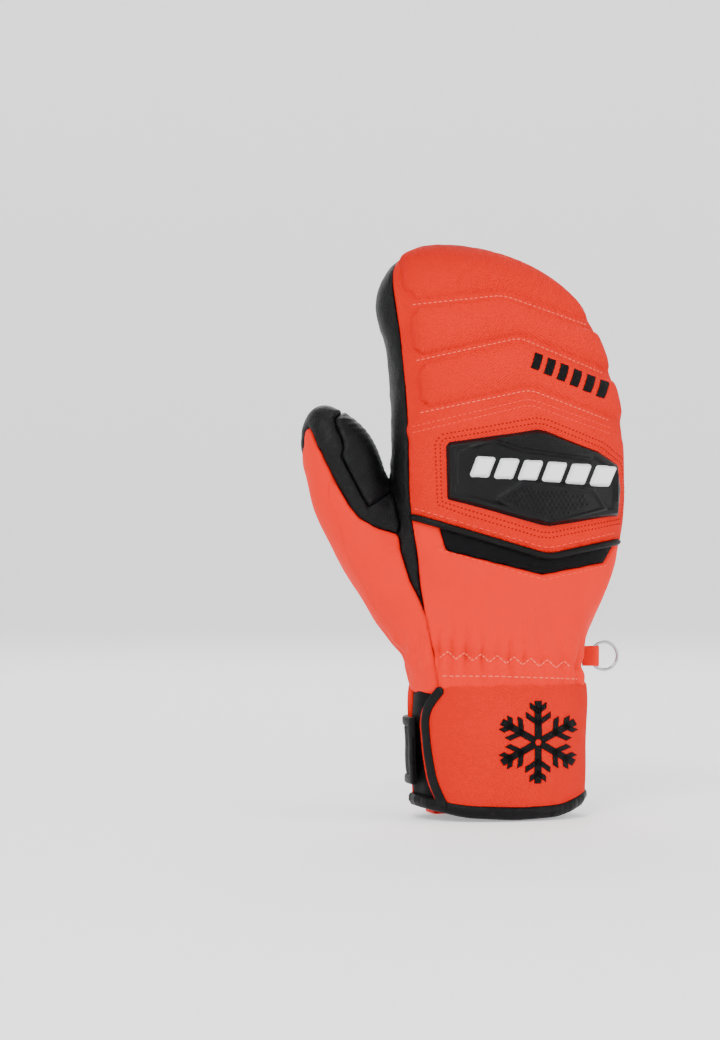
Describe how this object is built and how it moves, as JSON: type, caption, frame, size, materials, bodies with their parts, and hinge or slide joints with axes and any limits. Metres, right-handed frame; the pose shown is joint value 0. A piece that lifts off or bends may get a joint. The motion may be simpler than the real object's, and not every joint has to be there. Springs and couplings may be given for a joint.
{
  "type": "ski mitten",
  "caption": "Padded right-hand ski mitten with separate thumb, quilted finger pads, moulded knuckle guard, leather palm and a long cuff with strap, clip ring and pull loop.",
  "frame": {"origin": "middle of the cuff's mouth, on the plane the hem stands on", "axes": "+Z from the cuff's mouth to the fingertips, -Y the back of the hand, +Y the palm, -X the thumb side, +X the little-finger side"},
  "size_m": [0.1603, 0.0874, 0.2836],
  "materials": {
    "red_shell": "matte",
    "black_leather": "satin",
    "guard_polymer": "satin",
    "badge_white": "gloss",
    "black_fabric": "matte",
    "black_webbing": "matte",
    "red_webbing": "matte",
    "foam": "matte",
    "wadding": "matte",
    "membrane": "satin",
    "fleece": "matte",
    "elastic": "matte",
    "ring_steel": "gloss"
  },
  "bodies": {
    "cuff": {"cuff_back_flap": "red_shell", "cuff_palm_panel": "red_shell", "cuff_gusset": "red_shell", "cuff_lining": "black_fabric", "hem_binding_back": "black_webbing", "hem_binding_palm": "black_webbing", "flap_edge_binding": "black_webbing", "cuff_emblem": "black_fabric", "cuff_loop_tape": "black_fabric", "pull_loop_ends": "red_webbing"},
    "hand": {"hand_back_panel": "red_shell", "knuckle_panel": "red_shell", "flex_insert": "black_fabric", "palm_grip_panel": "black_leather", "index_side_wall": "black_leather", "little_finger_side_wall": "black_leather", "palm_crease": "black_leather", "knuckle_guard": "guard_polymer", "guard_badge": "badge_white", "flex_piping": "black_fabric", "knuckle_foam": "foam", "insulation_fill": "wadding", "waterproof_membrane": "membrane", "inner_liner": "fleece", "wrist_elastic": "elastic", "wrist_gather_panel": "red_shell", "palm_heel_panel": "black_leather", "thumb_root_outer": "red_shell", "thumb_root_inner": "black_leather", "thumb_crease": "black_leather"},
    "fingers": {"finger_back_panel": "red_shell", "finger_palm_leather": "black_leather", "fingertip_wall_index": "black_leather", "fingertip_wall_little": "black_leather", "finger_pad_one": "foam", "finger_pad_two": "foam", "finger_pad_three": "foam"},
    "thumb": {"thumb_tip_outer": "red_shell", "thumb_tip_inner": "black_leather"},
    "strap": {"closure_strap": "black_fabric", "strap_binding": "black_webbing", "strap_hook_tape": "black_fabric"},
    "ring_tab": {"ring_tab": "red_webbing"},
    "ring": {"clip_ring": "ring_steel"},
    "pull_loop": {"pull_loop": "red_webbing"}
  },
  "joints": [
    {"name": "wrist_bend", "type": "hinge", "parent": "cuff", "child": "hand", "pos_m": [0, 0, 0.077], "axis": [1, 0, 0], "range_deg": [-35, 35], "stiffness_Nm_per_rad": 0.6, "deforming": ["insulation_fill", "waterproof_membrane", "inner_liner", "wrist_elastic", "wrist_gather_panel", "palm_heel_panel"]},
    {"name": "finger_bend", "type": "hinge", "parent": "hand", "child": "fingers", "pos_m": [0, -0.006, 0.2], "axis": [-1, 0, 0], "range_deg": [0, 45], "stiffness_Nm_per_rad": 0.4, "deforming": ["insulation_fill", "waterproof_membrane", "inner_liner", "palm_crease"]},
    {"name": "thumb_bend", "type": "hinge", "parent": "hand", "child": "thumb", "pos_m": [-0.072, 0.002, 0.161], "axis": [-0.8988, 0, -0.4384], "range_deg": [0, 38], "stiffness_Nm_per_rad": 0.3, "deforming": ["insulation_fill", "waterproof_membrane", "inner_liner", "thumb_crease"]},
    {"name": "strap_open", "type": "hinge", "parent": "cuff", "child": "strap", "pos_m": [-0.0472, -0.006, 0.033], "axis": [0, 0, 1], "range_deg": [0, 120]},
    {"name": "tab_fold", "type": "hinge", "parent": "cuff", "child": "ring_tab", "pos_m": [0.0457, 0, 0.079], "axis": [0, 0, 1], "range_deg": [-40, 40]},
    {"name": "ring_swing", "type": "hinge", "parent": "ring_tab", "child": "ring", "pos_m": [0.0505, 0, 0.079], "axis": [0, 0, 1], "range_deg": [-60, 60]},
    {"name": "pull_loop_fold", "type": "hinge", "parent": "cuff", "child": "pull_loop", "pos_m": [0, 0.0265, 0.0006], "axis": [1, 0, 0], "range_deg": [-80, 55]}
  ]
}
